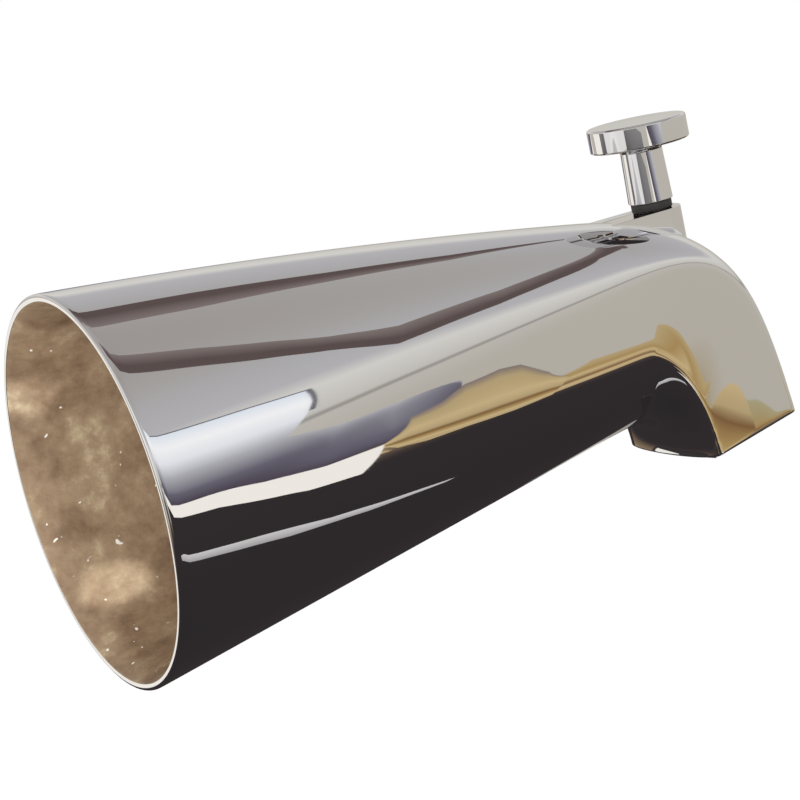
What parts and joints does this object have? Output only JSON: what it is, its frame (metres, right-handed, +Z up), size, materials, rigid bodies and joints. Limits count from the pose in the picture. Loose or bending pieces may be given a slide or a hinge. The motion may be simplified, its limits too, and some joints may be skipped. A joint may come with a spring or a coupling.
{
  "type": "bath spout",
  "caption": "Chromed bath spout with a round open wall end, a flat-sided nose turned down to its outlet and a pull-up diverter knob.",
  "frame": {"origin": "centre of the open wall end, in the plane of its rim", "axes": "+X out of the wall along the inlet, +Z up along the knob's lift, +Y across"},
  "size_m": [0.131, 0.0654, 0.0677],
  "materials": {
    "chrome": "polished chrome outside, raw casting inside",
    "brass": "turned",
    "plastic": "moulded",
    "rubber": "matt black"
  },
  "bodies": {
    "spout": {"spout_body": "chrome", "inlet_bushing": "brass", "guide_bushing": "plastic", "rod_o_ring": "rubber"},
    "diverter": {"lift_knob": "chrome", "knob_washer": "rubber", "lift_rod": "brass", "gate": "plastic", "gate_seal": "rubber"}
  },
  "joints": [
    {"name": "diverter_lift", "type": "slide", "parent": "spout", "child": "diverter", "axis": [0, 0, 1], "range_m": [0, 0.015]}
  ]
}
